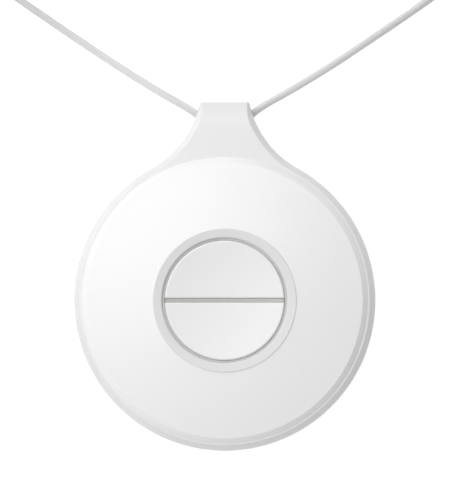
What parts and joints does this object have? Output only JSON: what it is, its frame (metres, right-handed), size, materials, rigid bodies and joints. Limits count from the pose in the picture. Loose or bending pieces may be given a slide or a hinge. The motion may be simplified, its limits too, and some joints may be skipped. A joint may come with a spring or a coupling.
{
  "type": "wireless panic button",
  "caption": "Round pendant call button with a split two-key press pad, a cord tab and a neck cord with a pull-apart clasp.",
  "frame": {"origin": "on the disc's axis, in the plane of its flat back", "axes": "+Z out of the front face along the disc's axis, +Y from the disc towards the cord tab, +X to the right as the front is seen with the tab on top"},
  "size_m": [0.078, 0.0912, 0.0117],
  "materials": {
    "housing_white": "fine satin moulded white plastic",
    "cap_white": "satin moulded white plastic",
    "key_white": "satin moulded white plastic",
    "bezel_grey": "satin light grey plastic",
    "light_guide": "translucent grey-green plastic",
    "silicone": "translucent grey silicone",
    "seal_rubber": "black rubber",
    "board_green": "solder-masked glass laminate",
    "chip_black": "moulded chip body",
    "switch_black": "moulded switch body",
    "led_clear": "clear resin over a small lamp",
    "contact_steel": "nickel-plated spring steel",
    "cell_steel": "nickel-plated steel can",
    "screw_steel": "zinc-plated steel",
    "antenna_wire": "tinned copper wire",
    "cord_grey": "fine braided polyester cord",
    "clasp_white": "satin moulded plastic"
  },
  "bodies": {
    "pendant": {"rear_housing": "housing_white", "front_cap": "cap_white", "cap_seal": "seal_rubber", "bezel_ring": "bezel_grey", "light_guide": "light_guide", "key_membrane": "silicone", "circuit_board": "board_green", "upper_switch_base": "switch_black", "lower_switch_base": "switch_black", "upper_switch_frame": "contact_steel", "lower_switch_frame": "contact_steel", "status_led": "led_clear", "radio_chip": "chip_black", "crystal": "contact_steel", "board_parts": "chip_black", "loop_antenna": "antenna_wire", "coin_cell": "cell_steel", "positive_clip": "contact_steel", "negative_spring": "contact_steel", "case_screws": "screw_steel", "board_screws": "screw_steel", "neck_cord_run": "cord_grey", "neck_cord_coil": "cord_grey", "neck_cord_tail": "cord_grey", "clasp_plug": "clasp_white", "clasp_socket": "clasp_white"},
    "upper_key": {"upper_key": "key_white"},
    "lower_key": {"lower_key": "key_white"},
    "upper_plunger": {"upper_switch_plunger": "switch_black"},
    "lower_plunger": {"lower_switch_plunger": "switch_black"},
    "battery_door": {"battery_door": "housing_white", "door_seal": "seal_rubber"}
  },
  "joints": [
    {"name": "upper_key_press", "type": "slide", "parent": "pendant", "child": "upper_key", "axis": [0, 0, -1], "range_m": [0, 0.0003], "stiffness_N_per_m": 5000, "deforming": ["key_membrane"]},
    {"name": "upper_plunger_press", "type": "slide", "parent": "pendant", "child": "upper_plunger", "axis": [0, 0, -1], "range_m": [0, 0.0003], "deforming": ["key_membrane"]},
    {"name": "lower_key_press", "type": "slide", "parent": "pendant", "child": "lower_key", "axis": [0, 0, -1], "range_m": [0, 0.0003], "stiffness_N_per_m": 5000, "deforming": ["key_membrane"]},
    {"name": "lower_plunger_press", "type": "slide", "parent": "pendant", "child": "lower_plunger", "axis": [0, 0, -1], "range_m": [0, 0.0003], "deforming": ["key_membrane"]},
    {"name": "battery_door_turn", "type": "hinge", "parent": "pendant", "child": "battery_door", "pos_m": [0, 0, 0.0017], "axis": [0, 0, -1], "range_deg": [0, 40]}
  ],
  "couplings": [
    {"joint": "upper_plunger_press", "follows": "upper_key_press", "ratio": 1},
    {"joint": "lower_plunger_press", "follows": "lower_key_press", "ratio": 1}
  ]
}
